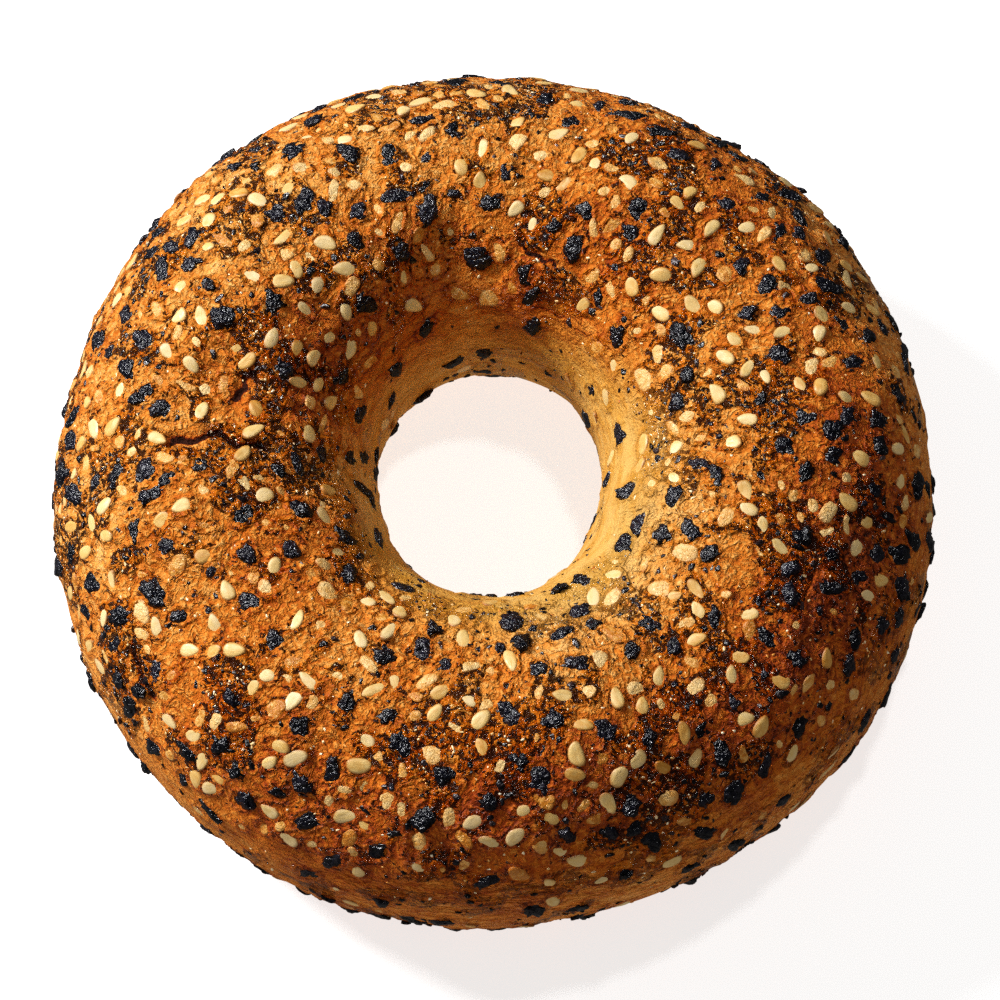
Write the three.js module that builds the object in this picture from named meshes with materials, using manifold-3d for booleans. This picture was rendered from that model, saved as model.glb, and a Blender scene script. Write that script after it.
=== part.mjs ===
// A seeded bagel, whole and uncut: one ring of bread with its topping baked into the crust.
// Millimetres, +Z up. The origin is the middle of the flat underside, +X is to the right and +Y away
// from the eater. The ring is a rounded section carried round a hole that is a little off centre and a
// little longer than it is wide. The larger grains of the topping are fused to the crust: sesame seeds,
// black seeds and flakes of dried onion.
import * as THREE from "three";
import { ParametricGeometry } from "three/addons/geometries/ParametricGeometry.js";
import { mergeVertices } from "three/addons/utils/BufferGeometryUtils.js";
import Module from "manifold-3d";

// ---- Driving dimensions of the ring ----
const OUTER_RADIUS = 55.7;
const HOLE_RADIUS = 15.6;
const HEIGHT = 36;
const WIDEST_AT = 0.44; // share of the height at which the wall stands out furthest and the hole is narrowest
const CROWN_POWER = 2.15; // superellipse power of the section above its widest place, where 2 is an ellipse
const FOOT_POWER = 2.8; // the same below it, where the dough has settled on the tray
const TRAY_FLAT = 0.7; // height that the tray has flattened off the rounded underside

// How far each outline departs from a circle: lobes round the ring, size in mm, and the direction of
// the first lobe in degrees.
const OUTER_LOBES = [
  { lobes: 3, size: 0.36, towards: 5 },
  { lobes: 4, size: 0.25, towards: 167 },
  { lobes: 5, size: 0.22, towards: 225 },
];
const HOLE_LOBES = [
  { lobes: 1, size: 1.4, towards: 111 },
  { lobes: 2, size: 1.4, towards: 173 },
];
const HEIGHT_LOBES = [
  { lobes: 1, size: 0.5, towards: 200 },
  { lobes: 3, size: 0.5, towards: 70 },
];

// Swells that the oven left in the crown: waves round the ring and across the section, sizes in mm.
const SWELLS = [
  { round: 5, across: 1, size: 0.35, start: 40 },
  { round: 8, across: -2, size: 0.25, start: 150 },
  { round: 11, across: 3, size: 0.18, start: 260 },
];
// Separate hollows in the crown: where they are round the ring and across the section in degrees, and
// their reach and depth in mm.
const HOLLOWS = [
  { theta: 109, phi: 136, reach: 6.5, depth: 1.1 },
  { theta: 67, phi: 141, reach: 5.5, depth: 0.9 },
  { theta: 168, phi: 92, reach: 5.0, depth: 0.6 },
  { theta: 212, phi: 74, reach: 6.0, depth: 0.6 },
  { theta: 318, phi: 84, reach: 6.5, depth: 0.5 },
];
// Swells and hollows come in between these two sines of phi, so that both walls of the ring stay smooth.
const CROWN_FROM = 0.15;
const CROWN_FULL = 0.8;

// ---- Driving dimensions of the topping ----
const TOPPING_SEED = 20417;
const TOPPING_SPACING = 4.4; // least distance between two grains
const GRAIN_KINDS = [
  { name: "sesame", share: 0.48, length: 2.9, width: 1.85, thickness: 1.0, sunk: 0.1 },
  { name: "black", share: 0.34, length: 2.4, width: 1.8, thickness: 1.5, sunk: 0.2 },
  { name: "flake", share: 0.18, length: 3.4, width: 2.4, thickness: 0.7, sunk: 0.12 },
];
const GRAIN_COUNT = 180;
const GRAIN_SIZE_SPREAD = 0.12; // share by which a grain's size varies either way
// The topping lies between two edges, in degrees up from the section's widest place on each wall.
const WALL_EDGE = 33;
const WALL_EDGE_SWING = 16; // it starts higher on the side towards WALL_EDGE_HIGH and lower on the other
const WALL_EDGE_HIGH = -45;
const HOLE_EDGE = 46;
const EDGE_SOFTNESS = 14; // degrees over which the topping thins out
const STRAY_SHARE = 0.1; // share of the topping's density that strays below those edges
const GRAIN_FLOOR = 4; // lowest place of a grain's middle
// Grains are tried for from just under the outer wall's widest place to just under the hole's.
const TRY_FROM = -30;
const TRY_TO = 210;
const SESAME_TAPER = 0.55; // share of its width by which a sesame seed narrows towards its point
const FLAKE_SIDES = 6;
const FLAKE_UNDER_SHARE = 0.84; // width of a flake's lower face as a share of its upper one
const LUMP_RADIUS = 0.53; // of a seed of unit size, so that its flat sides come near to one across

// ---- Mesh fineness ----
const STEPS_ROUND = 76;
const STEPS_ACROSS = 26;
const MERGE_WITHIN = 1e-4; // mm within which two corners are one

const radians = THREE.MathUtils.degToRad;
const smoothstep = THREE.MathUtils.smoothstep;

// ---- The ring's shape ----
const lobed = (mean, lobes, theta) =>
  lobes.reduce((sum, l) => sum + l.size * Math.cos(l.lobes * theta - radians(l.towards)), mean);

// One side of a superellipse: the sine or cosine of an angle, bent by the section's power.
const bent = (value, power) => Math.sign(value) * Math.abs(value) ** (2 / power);

// How far the crust stands out from, or lies inside, the plain section at a place.
function swellAt(theta, phi) {
  let out = 0;
  for (const s of SWELLS) out += s.size * Math.sin(s.round * theta + s.across * phi + radians(s.start));
  const midRadius = (OUTER_RADIUS + HOLE_RADIUS) / 2;
  const tubeRadius = (OUTER_RADIUS - HOLE_RADIUS) / 2;
  for (const h of HOLLOWS) {
    const turn = theta - radians(h.theta);
    const along = 2 * midRadius * Math.sin(turn / 2);
    const across = 2 * tubeRadius * Math.sin((phi - radians(h.phi)) / 2);
    const behind = Math.cos(turn) < 0;
    if (!behind) out -= h.depth * Math.exp(-(along ** 2 + across ** 2) / h.reach ** 2);
  }
  return out * smoothstep(Math.sin(phi), CROWN_FROM, CROWN_FULL);
}

// A point of the crust. theta runs round the ring from +X, and phi runs round the section: 0 is the
// outer wall, a quarter turn the crown, a half turn the hole's wall and three quarters the underside.
function crustPoint(theta, phi, target = new THREE.Vector3()) {
  const outer = lobed(OUTER_RADIUS, OUTER_LOBES, theta);
  const hole = lobed(HOLE_RADIUS, HOLE_LOBES, theta);
  const height = lobed(HEIGHT, HEIGHT_LOBES, theta);
  const widest = WIDEST_AT * HEIGHT;
  const above = Math.sin(phi) >= 0;
  const power = above ? CROWN_POWER : FOOT_POWER;
  const halfHeight = above ? height - widest : widest + TRAY_FLAT;
  const across = bent(Math.cos(phi), power);
  const up = bent(Math.sin(phi), power);
  const plainZ = widest + halfHeight * up;
  const swell = swellAt(theta, phi);
  const radius = (outer + hole) / 2 + ((outer - hole) / 2) * across + swell * Math.cos(phi);
  const z = Math.max(0, plainZ + swell * Math.sin(phi));
  return target.set(radius * Math.cos(theta), radius * Math.sin(theta), z);
}

// The crust's outward direction and two directions along it, from points close by.
function crustFrame(theta, phi) {
  const step = 1e-3; // radians
  const round = crustPoint(theta + step, phi).sub(crustPoint(theta - step, phi)).normalize();
  const across = crustPoint(theta, phi + step).sub(crustPoint(theta, phi - step)).normalize();
  const normal = new THREE.Vector3().crossVectors(round, across).normalize();
  return { normal, round, side: new THREE.Vector3().crossVectors(normal, round) };
}

// ---- The topping's places ----
// A plain linear congruential generator, so that any program can draw the same numbers.
function drawer(seed) {
  let state = seed;
  return () => {
    state = (1664525 * state + 1013904223) % 4294967296;
    return state / 4294967296;
  };
}

// Share of the full topping at a place, from 0 to 1.
function toppingShare(theta, phi) {
  const wallEdge = WALL_EDGE + WALL_EDGE_SWING * Math.cos(theta - radians(WALL_EDGE_HIGH));
  const degrees = THREE.MathUtils.radToDeg(phi);
  const fromWall = smoothstep(degrees, wallEdge - EDGE_SOFTNESS, wallEdge + EDGE_SOFTNESS / 2);
  const fromHole = smoothstep(180 - degrees, HOLE_EDGE - EDGE_SOFTNESS, HOLE_EDGE + EDGE_SOFTNESS / 2);
  return STRAY_SHARE + (1 - STRAY_SHARE) * Math.min(fromWall, fromHole);
}

function kindFor(draw) {
  let left = draw;
  for (const kind of GRAIN_KINDS) {
    if (left < kind.share) return kind;
    left -= kind.share;
  }
  return GRAIN_KINDS[0];
}

// Grains at even spacing over the topping: each try draws the same five numbers, whether it is kept or not.
function toppingPlaces(count) {
  const draw = drawer(TOPPING_SEED);
  const places = [];
  while (places.length < count) {
    const theta = 2 * Math.PI * draw();
    const phi = radians(TRY_FROM + (TRY_TO - TRY_FROM) * draw());
    const kind = kindFor(draw());
    const chance = draw();
    const spin = Math.PI * draw();
    const point = crustPoint(theta, phi);
    // Tries are even in theta, so the wide outside of the ring keeps more of them than the hole does.
    const stretch = Math.hypot(point.x, point.y) / OUTER_RADIUS;
    if (chance > stretch * toppingShare(theta, phi)) continue;
    if (point.z < GRAIN_FLOOR) continue;
    if (places.some((p) => p.point.distanceTo(point) < TOPPING_SPACING)) continue;
    places.push({ theta, phi, kind, spin, point });
  }
  return places;
}

// ---- Solids ----
const wasm = await Module();
wasm.setup();

function solidFrom(geometry) {
  const bare = geometry.clone();
  bare.deleteAttribute("normal");
  bare.deleteAttribute("uv");
  const merged = mergeVertices(bare, MERGE_WITHIN);
  return new wasm.Manifold(
    new wasm.Mesh({
      numProp: 3,
      vertProperties: new Float32Array(merged.attributes.position.array),
      triVerts: new Uint32Array(merged.index.array),
    }),
  );
}

function geometryFrom(solid) {
  const { vertProperties, triVerts, numProp } = solid.getMesh();
  const geometry = new THREE.BufferGeometry();
  geometry.setAttribute("position", new THREE.InterleavedBufferAttribute(
    new THREE.InterleavedBuffer(vertProperties, numProp), 3, 0,
  ));
  geometry.setIndex(new THREE.BufferAttribute(triVerts, 1));
  return geometry.toNonIndexed();
}

// The bare ring. phi starts at the middle of the underside, so that the seam of the grid lies on the tray.
function ringGeometry() {
  const start = -Math.PI / 2;
  return new ParametricGeometry(
    (u, v, target) => crustPoint(2 * Math.PI * (u % 1), start + 2 * Math.PI * (v % 1), target),
    STEPS_ROUND,
    STEPS_ACROSS,
  );
}

// One grain of unit size, lying along x: a pointed drop for sesame, a lump for a black seed and a thin
// chip for a flake.
function grainGeometry(kind) {
  if (kind.name === "flake") {
    return new THREE.CylinderGeometry(0.5, 0.5 * FLAKE_UNDER_SHARE, 1, FLAKE_SIDES).rotateX(Math.PI / 2);
  }
  const lump = new THREE.IcosahedronGeometry(LUMP_RADIUS, 0);
  if (kind.name === "sesame") {
    const position = lump.attributes.position;
    for (let i = 0; i < position.count; i++) {
      position.setY(i, position.getY(i) * (1 - SESAME_TAPER * position.getX(i)));
    }
  }
  return lump;
}

function grainSolid({ theta, phi, kind, spin, point }, sizeDraw) {
  const { normal, round, side } = crustFrame(theta, phi);
  const along = round.clone().multiplyScalar(Math.cos(spin)).addScaledVector(side, Math.sin(spin));
  const aside = new THREE.Vector3().crossVectors(normal, along);
  const scale = 1 + GRAIN_SIZE_SPREAD * (2 * sizeDraw - 1);
  const middle = point.clone().addScaledVector(normal, -kind.sunk);
  const placing = new THREE.Matrix4()
    .makeBasis(along, aside, normal)
    .scale(new THREE.Vector3(kind.length, kind.width, kind.thickness).multiplyScalar(scale))
    .setPosition(middle);
  return solidFrom(grainGeometry(kind).applyMatrix4(placing));
}

function bagelGeometry() {
  const sizeDraw = drawer(TOPPING_SEED + 1);
  const grains = toppingPlaces(GRAIN_COUNT).map((place) => grainSolid(place, sizeDraw()));
  return geometryFrom(wasm.Manifold.union([solidFrom(ringGeometry()), ...grains]));
}

// ---- The part ----
const crust = new THREE.MeshStandardMaterial({ color: 0xb4682a, roughness: 0.7, metalness: 0 });
const bagel = new THREE.Mesh(bagelGeometry(), crust);
bagel.name = "bagel";

const group = new THREE.Group();
group.add(bagel);

export default group;
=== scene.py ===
"""A seeded bagel: its crust and the topping baked into it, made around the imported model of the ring.

Lengths are millimetres until a mesh is written, and +Z is up. theta runs round the ring from +X. phi runs
round the bread's section: 0 is the outer wall, 90 the crown, 180 the hole's wall and 270 the underside.
"""
import itertools
import math
import bmesh
import bpy
import numpy as np
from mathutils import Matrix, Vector, kdtree


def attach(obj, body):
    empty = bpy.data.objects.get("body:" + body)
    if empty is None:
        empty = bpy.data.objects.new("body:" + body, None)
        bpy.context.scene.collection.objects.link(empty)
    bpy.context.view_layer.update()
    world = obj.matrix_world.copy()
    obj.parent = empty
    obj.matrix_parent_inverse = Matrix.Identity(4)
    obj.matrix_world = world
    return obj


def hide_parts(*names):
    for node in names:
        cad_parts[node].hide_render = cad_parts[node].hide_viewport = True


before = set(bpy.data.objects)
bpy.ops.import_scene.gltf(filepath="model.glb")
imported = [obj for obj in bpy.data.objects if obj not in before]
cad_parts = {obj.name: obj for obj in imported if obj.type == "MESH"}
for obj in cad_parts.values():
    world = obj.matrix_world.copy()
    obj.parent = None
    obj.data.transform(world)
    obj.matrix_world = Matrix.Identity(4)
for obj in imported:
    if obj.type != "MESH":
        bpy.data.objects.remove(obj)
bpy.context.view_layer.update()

MM = 0.001

# ---- The ring, as the model has it ----
OUTER_RADIUS = 55.7
HOLE_RADIUS = 15.6
HEIGHT = 36
WIDEST_AT = 0.44
CROWN_POWER = 2.15
FOOT_POWER = 2.8
TRAY_FLAT = 0.7
OUTER_LOBES = [(3, 0.36, 5), (4, 0.25, 167), (5, 0.22, 225)]  # lobes round the ring, size, direction
HOLE_LOBES = [(1, 1.4, 111), (2, 1.4, 173)]
HEIGHT_LOBES = [(1, 0.5, 200), (3, 0.5, 70)]
SWELLS = [(5, 1, 0.35, 40), (8, -2, 0.25, 150), (11, 3, 0.18, 260)]  # round, across, size, start
HOLLOWS = [  # theta, phi, reach, depth
    (109, 136, 6.5, 1.1),
    (67, 141, 5.5, 0.9),
    (168, 92, 5.0, 0.6),
    (212, 74, 6.0, 0.6),
    (318, 84, 6.5, 0.5),
]
CROWN_FROM = 0.15
CROWN_FULL = 0.8
TOPPING_SEED = 20417
TOPPING_SPACING = 4.4
MODEL_KINDS = [("sesame", 0.48), ("black", 0.34), ("flake", 0.18)]
MODEL_SIZES = {"sesame": (2.9, 1.85, 1.0), "black": (2.4, 1.8, 1.5), "flake": (3.4, 2.4, 0.7)}
MODEL_GRAINS = 180
MODEL_SIZE_SPREAD = 0.12
WALL_EDGE = 33  # phi where the topping thins out on the outer wall
WALL_EDGE_SWING = 16
WALL_EDGE_HIGH = -45  # theta where that is highest
HOLE_EDGE = 46  # and how far before 180 it thins out in the hole
EDGE_SOFTNESS = 14
STRAY_SHARE = 0.1
GRAIN_FLOOR = 4
TRY_FROM = -30  # phi
TRY_TO = 210
DRAW_FACTOR = 1664525
DRAW_STEP = 1013904223
DRAW_RANGE = 4294967296

# ---- The crust's own relief and mesh ----
CRUST_ROUND = 560
CRUST_ACROSS = 176
UNDER_ROWS = 28  # of those across, on the underside
ROWS_FROM = -40  # phi of the first row
UNDER_FROM = 212
ROWS_TO = 320
RELIEF = [(11, 0.42, 11), (5.2, 0.30, 12), (2.5, 0.20, 13)]  # wavelength, height, noise seed
CREASES = [(6.0, 0.30, 0.16, 14), (3.2, 0.24, 0.20, 15)]  # wavelength, depth, width, noise seed
CREASE_GAPS = (2.5, 40, -0.1, 0.4)  # the noise that breaks them up: times as long, seed, from, full
WALL_RELIEF = 0.35  # share of the relief that the bare walls keep
FINE_LOWER = 9  # degrees by which the finer topping reaches further down the wall than the model's grains
WRINKLES = [  # theta and phi at each end, width, depth, how far it wanders across itself
    (180.5, 74, 181.5, 114, 0.7, 0.85, 1.7),
    (172.0, 96, 163.0, 104, 0.6, 0.4, 0.8),
    (208.0, 44, 219.0, 38, 0.5, 0.3, 0.7),
    (84.0, 119, 70.0, 128, 0.45, 0.35, 0.8),
]
WANDER = [(7.3, 0.5), (19, 0.3)]  # radians along a wrinkle, share
WRINKLE_END = 0.15  # share of the length over which it fades
WRINKLE_LIPS = (0.35, 2.2)  # height and distance, in depths and widths of the wrinkle
COLLAR_HEIGHT = 0.22  # of the crust that has baked up round each large grain
COLLAR_WIDTH = 0.45
CONTACT_SHADE_AT = 0.4  # of the painted contact shade round each grain, in collar widths
CONTACT_SHADE_SPREAD = 0.8
NOISE_SHIFT = 1000  # keeps every cell's number above 0
HASH_FACTORS = (374761393, 668265263, 1440662683, 974634777)  # for x, y, z and the seed
HASH_MIX = 1274126177

# ---- How far the crust has baked, with painted light and shade in places: 0 is pale, 1 nearly black ----
BAKE_PROFILE = [  # phi, tone
    (-60, 0.70), (-35, 0.58), (-10, 0.51), (12, 0.51), (36, 0.53), (60, 0.58), (90, 0.50),
    (112, 0.48), (132, 0.43), (150, 0.36), (180, 0.30), (215, 0.34), (245, 0.60), (300, 0.70),
]
SIDE_FROM_KEY = -50  # theta of the side turned from the key light
SHOULDER = (62, 34, 0.20)  # phi, reach in degrees, how much darker there on the side turned from the key light: partly browning, partly painted shade
# phi, reach in degrees and size of painted light and shade on the hole's wall: paler where it faces the key
# light, darker where it is turned from it
HOLE_WALL_LIGHT_AND_SHADE = (132, 28, -0.16)
BAKE_NOISE = [(9, 0.04, 31), (4, 0.025, 32)]  # wavelength, size, noise seed
BAKE_AND_SHADE_PATCHES = [  # theta, phi, reach, how much darker: partly browning, partly painted shade and painted light, set place by place
    (-5, 65, 14, 0.08),
    (62, 100, 12, 0.05),
    (112, 84, 12, 0.08),
    (38, 132, 11, 0.10),
    (162, 118, 14, 0.19),
    (208, 113, 12, 0.14),
    (252, 76, 11, -0.10),
    (266, 112, 11, 0.08),
    (118, 36, 12, 0.11),
    (252, 34, 14, 0.12),
    (184, 20, 13, -0.10),
    (150, 80, 16, -0.06),
    (285, 88, 14, -0.05),
    (63, 68, 15, 0.12),
    (165, 42, 17, 0.12),
    (248, 140, 12, 0.16),
    (190, 160, 15, -0.14),
    (75, 168, 13, 0.24),
    (122, 165, 13, 0.16),
    (18, 30, 17, -0.14),
]
DOUGH_EDGE = 143  # phi from which the hole's wall has hardly browned
DOUGH_EDGE_SWING = 23
DOUGH_EDGE_LOW = -60  # theta where that edge comes furthest up to the crown
DOUGH_SOFTNESS = (16, 14)
DOUGH_END = (205, 245)
DOUGH_NOISE = (6, 4, 33)  # wavelength, size in degrees, noise seed
CHAR_WAVES = [(7.5, 21), (3.0, 22)]  # wavelength, noise seed
CHAR_WEIGHT = 0.6
CHAR_FROM = 0.13
CHAR_FULL = 0.36
LEAST_ROUGHNESS = 0.1  # in the look of the bare crust
WALL_ROUGHNESS = 0.35  # added on the outer side
OUTER_SIDE = (-0.3, 0.6)  # cosines of phi between which that side begins

# ---- The topping ----
SCATTER_SEED = 5
SCATTER_ROUNDS = 60
SCATTER_TRIES = 4000  # in each round
SCATTER_FLOOR = 2.5
SEAT_STEP = 0.45  # to each side of a grain, to find how the crust under it lies
SEAT_SECTION = 18  # mm that a radian of phi is taken to be there
CLUSTER_SECTION = 19  # and where grains gather round a seed
LARGE_KINDS = {  # count, gap, power and least of the scatter; length, width and thickness, least and most
    "black": (385, 3.3, 0.7, 0.62, ((2.2, 3.4), (1.7, 2.45), (0.9, 1.4))),
    "small_black": (200, 1.3, 0.6, 0.65, ((0.9, 1.7), (0.7, 1.2), (0.6, 0.9))),
    "sesame": (320, 2.2, 1.6, 0.10, ((2.5, 3.5), (1.55, 2.05), (0.6, 0.85))),
    "flake": (340, 1.9, 1.5, 0.04, ((2.0, 3.7), (1.3, 2.2), (0.5, 0.75))),
}
MODEL_GAP = 2.4
BLACK_STRETCH = (1.22, 1.16, 1.0)  # makes up for what the crumpling takes off
BIG_SEED = (74.8, 109.7, 80, 3.4, 2.0, 1.2)  # the one behind the hole: theta, phi, spin and its size
BIG_SEED_GAP = 3.0
FINE_KINDS = {  # count, gap, power, least and char of the scatter
    "poppy": (1500, 0.5, 1.0, 0.35, 0.15),
    "grit": (3900, 0.24, 1.1, 0.08, 0.02),
    "crumb_and_glint": (3200, 0.3, 1.2, 0.05, 0.15),
}
POPPY_SIZES = (0.35, 0.6)
POPPY_LARGER = 0.9  # by up to this much
POPPY_STRETCH = (1.25, 0.85, 0.6)
GRIT_SIZES = ((0.25, 0.8), (0.18, 0.5), (0.16, 0.34))
CRUMB_AND_GLINT_SIZES = ((0.3, 0.9), (0.2, 0.5), (0.15, 0.3))
GATHER_REACH = 1.0  # from a black seed, of the fine bits that gather at it
GATHER_POWER = 0.3
WRINKLE_MARKS = 13  # places along each wrinkle that the grains keep off
COVER_SEARCH = 2.6  # how near a grain's middle is that might cover a place
COVER_MARGIN = 1.15

# ---- The forms of the grains: squareness from 2, flatness below 1, tilt and how deep they sit ----
SESAME_SQUARE = 2.25
SESAME_FLAT = 0.62
SESAME_TAPER = (0.04, 0.40)
SESAME_DISH = (0.0, 0.22)
SESAME_RIM = (0.34, 0.66)  # heights on a unit ball between which the rim ends; below them the seed is painted darker, painted shade where it meets the crust
SESAME_TILT = 0.09
SESAME_SUNK = (0.06, 0.20)
FLAKE_SQUARE = 2.4
FLAKE_FLAT = 0.6
FLAKE_RIM = (0.2, 0.85)
FLAKE_TILT = 0.08
FLAKE_SUNK = (0.10, 0.24)
BLACK_SQUARE = 2.3
BLACK_FLAT = 0.8
BLACK_TILT = 0.14
BLACK_SUNK = (0.10, 0.30)  # of its thickness
SMALL_TILT = 0.35
MOSTLY_LOW = (1.2, 2.6)  # a beta draw with more small values than large
SPIN_RANGE = (0, 2 * math.pi)
NOISE_RANGE = (0, 500)  # where in the noise a grain's own part of it lies


# -------- the ring's shape
def smoothstep(value, low, high):
    t = np.clip((value - low) / (high - low), 0, 1)
    return t * t * (3 - 2 * t)


def lobed(mean, lobes, theta):
    return mean + sum(size * np.cos(count * theta - math.radians(at)) for count, size, at in lobes)


def bent(value, power):
    return np.sign(value) * np.abs(value) ** (2 / power)


def spot(theta, phi, at_theta, at_phi, reach):
    """1 at a place, fading to 0 over a reach in millimetres, and 0 on the ring's far side."""
    turn = theta - math.radians(at_theta)
    along = (OUTER_RADIUS + HOLE_RADIUS) * np.sin(turn / 2)
    across = (OUTER_RADIUS - HOLE_RADIUS) * np.sin((phi - math.radians(at_phi)) / 2)
    return np.exp(-(along**2 + across**2) / reach**2) * (np.cos(turn) >= 0)


def swell_at(theta, phi):
    out = 0 * theta
    for round_waves, across_waves, size, start in SWELLS:
        out = out + size * np.sin(round_waves * theta + across_waves * phi + math.radians(start))
    for at_theta, at_phi, reach, depth in HOLLOWS:
        out = out - depth * spot(theta, phi, at_theta, at_phi, reach)
    return out * smoothstep(np.sin(phi), CROWN_FROM, CROWN_FULL)


def crust_point(theta, phi):
    """Points of the bare ring, one row for each pair of angles."""
    outer = lobed(OUTER_RADIUS, OUTER_LOBES, theta)
    hole = lobed(HOLE_RADIUS, HOLE_LOBES, theta)
    height = lobed(HEIGHT, HEIGHT_LOBES, theta)
    widest = WIDEST_AT * HEIGHT
    above = np.sin(phi) >= 0
    power = np.where(above, CROWN_POWER, FOOT_POWER)
    half_height = np.where(above, height - widest, widest + TRAY_FLAT)
    swell = swell_at(theta, phi)
    across = bent(np.cos(phi), power)
    radius = (outer + hole) / 2 + (outer - hole) / 2 * across + swell * np.cos(phi)
    z = np.maximum(0, widest + half_height * bent(np.sin(phi), power) + swell * np.sin(phi))
    return np.stack([radius * np.cos(theta), radius * np.sin(theta), z], -1)


def unit(vectors):
    return vectors / np.linalg.norm(vectors, axis=-1, keepdims=True)


def crust_frame(theta, phi):
    """The ring's outward normal and its direction round the ring."""
    step = 1e-3
    round_ring = unit(crust_point(theta + step, phi) - crust_point(theta - step, phi))
    across = unit(crust_point(theta, phi + step) - crust_point(theta, phi - step))
    return unit(np.cross(round_ring, across)), round_ring


def topping_share(theta, phi, lower=0):
    """Share of the full topping at a place, from the stray few on the walls to 1 on the crown."""
    wall_edge = WALL_EDGE - lower + WALL_EDGE_SWING * np.cos(theta - math.radians(WALL_EDGE_HIGH))
    degrees = np.degrees(phi)
    from_wall = smoothstep(degrees, wall_edge - EDGE_SOFTNESS, wall_edge + EDGE_SOFTNESS / 2)
    from_hole = smoothstep(180 - degrees, HOLE_EDGE - EDGE_SOFTNESS, HOLE_EDGE + EDGE_SOFTNESS / 2)
    return STRAY_SHARE + (1 - STRAY_SHARE) * np.minimum(from_wall, from_hole)


# -------- noise, the same on every run
def lattice(x, y, z, seed):
    """A number from -1 to 1 for each corner of the noise's cells."""
    for_x, for_y, for_z, for_seed = HASH_FACTORS
    mixed = x * for_x + y * for_y + z * for_z + seed * for_seed
    mixed = (mixed ^ (mixed >> 13)) * HASH_MIX & 0xFFFFFFFF
    return ((mixed ^ (mixed >> 16)) & 0xFFFF) / 32767.5 - 1


def noise(points, wavelength, seed):
    """Smooth value noise from -1 to 1 at points, with bumps about a wavelength apart."""
    scaled = points / wavelength + NOISE_SHIFT
    cell = np.floor(scaled).astype(np.int64)
    share = scaled - cell
    share = share * share * (3 - 2 * share)
    total = 0
    for dx, dy, dz in itertools.product((0, 1), repeat=3):
        weight = np.prod(np.where([dx, dy, dz], share, 1 - share), axis=-1)
        corner = lattice(cell[..., 0] + dx, cell[..., 1] + dy, cell[..., 2] + dz, seed)
        total = total + weight * corner
    return total


def wrinkle_depth(theta, phi):
    """Depth of the wrinkles in the crust at a place, and how much painted shade lies in their creases, from
    0 to 1.
    """
    depth = 0 * theta
    wrinkle_shade = 0 * theta
    radius = (OUTER_RADIUS + HOLE_RADIUS) / 2
    tube = (OUTER_RADIUS - HOLE_RADIUS) / 2
    lip_height, lip_distance = WRINKLE_LIPS
    for theta_a, phi_a, theta_b, phi_b, width, deep, wander in WRINKLES:
        start = np.array([math.radians(theta_a) * radius, math.radians(phi_a) * tube])
        end = np.array([math.radians(theta_b) * radius, math.radians(phi_b) * tube])
        length = np.linalg.norm(end - start)
        way = (end - start) / length
        offset = np.stack([theta * radius, phi * tube], -1) - start
        along = offset @ way / length
        aside = offset @ np.array([-way[1], way[0]])
        for (waves, share), shift in zip(WANDER, (theta_a, phi_a)):
            aside = aside - share * wander * np.sin(waves * along + shift)
        ends = smoothstep(along, 0, WRINKLE_END) * smoothstep(1 - along, 0, WRINKLE_END)
        valley = np.exp(-((aside / width) ** 2)) * ends
        lips = lip_height * np.exp(-(((np.abs(aside) - lip_distance * width) / width) ** 2)) * ends
        depth = depth + deep * (valley - lips)
        wrinkle_shade = np.maximum(wrinkle_shade, valley)
    return depth, wrinkle_shade


def relief_at(theta, phi, points):
    """How far the crust stands out from the bare ring."""
    rough = WALL_RELIEF + (1 - WALL_RELIEF) * topping_share(theta, phi, FINE_LOWER)
    height = sum(size * noise(points, wavelength, seed) for wavelength, size, seed in RELIEF)
    longer, other_seed, gap_from, gap_full = CREASE_GAPS
    for wavelength, depth, width, seed in CREASES:
        line = np.exp(-((noise(points, wavelength, seed) / width) ** 2))
        there = smoothstep(noise(points, longer * wavelength, seed + other_seed), gap_from, gap_full)
        height = height - depth * line * there
    return rough * height - wrinkle_depth(theta, phi)[0]


def char_at(points):
    """Where charred bits gather and the crust between them has caught, from 0 to 1."""
    total = sum(CHAR_WEIGHT * noise(points, wavelength, seed) for wavelength, seed in CHAR_WAVES)
    return smoothstep(total, CHAR_FROM, CHAR_FULL)


def turned_by(spin, normal, round_ring):
    """The direction a spin turns to from the one round the ring, and the one across the ring."""
    side = np.cross(normal, round_ring)
    return round_ring * np.cos(spin)[:, None] + side * np.sin(spin)[:, None], side


def surface_at(theta, phi):
    """Points of the finished crust, with the bare ring's normals and directions round the ring."""
    bare = crust_point(theta, phi)
    normal, round_ring = crust_frame(theta, phi)
    return bare + relief_at(theta, phi, bare)[:, None] * normal, normal, round_ring


def seat_at(theta, phi):
    """Points of the finished crust with its own normals, as a grain that lies on it finds them."""
    turn = SEAT_STEP / np.hypot(*crust_point(theta, phi)[:, :2].T)
    climb = SEAT_STEP / SEAT_SECTION
    ahead = surface_at(theta + turn, phi)[0] - surface_at(theta - turn, phi)[0]
    up = surface_at(theta, phi + climb)[0] - surface_at(theta, phi - climb)[0]
    return surface_at(theta, phi)[0], unit(np.cross(ahead, up)), unit(ahead)


# -------- where the topping lies
def drawer(seed):
    """The model's generator of draws, so that its grains come out in the same places here."""
    state = seed
    while True:
        state = (DRAW_FACTOR * state + DRAW_STEP) % DRAW_RANGE
        yield state / DRAW_RANGE


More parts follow.
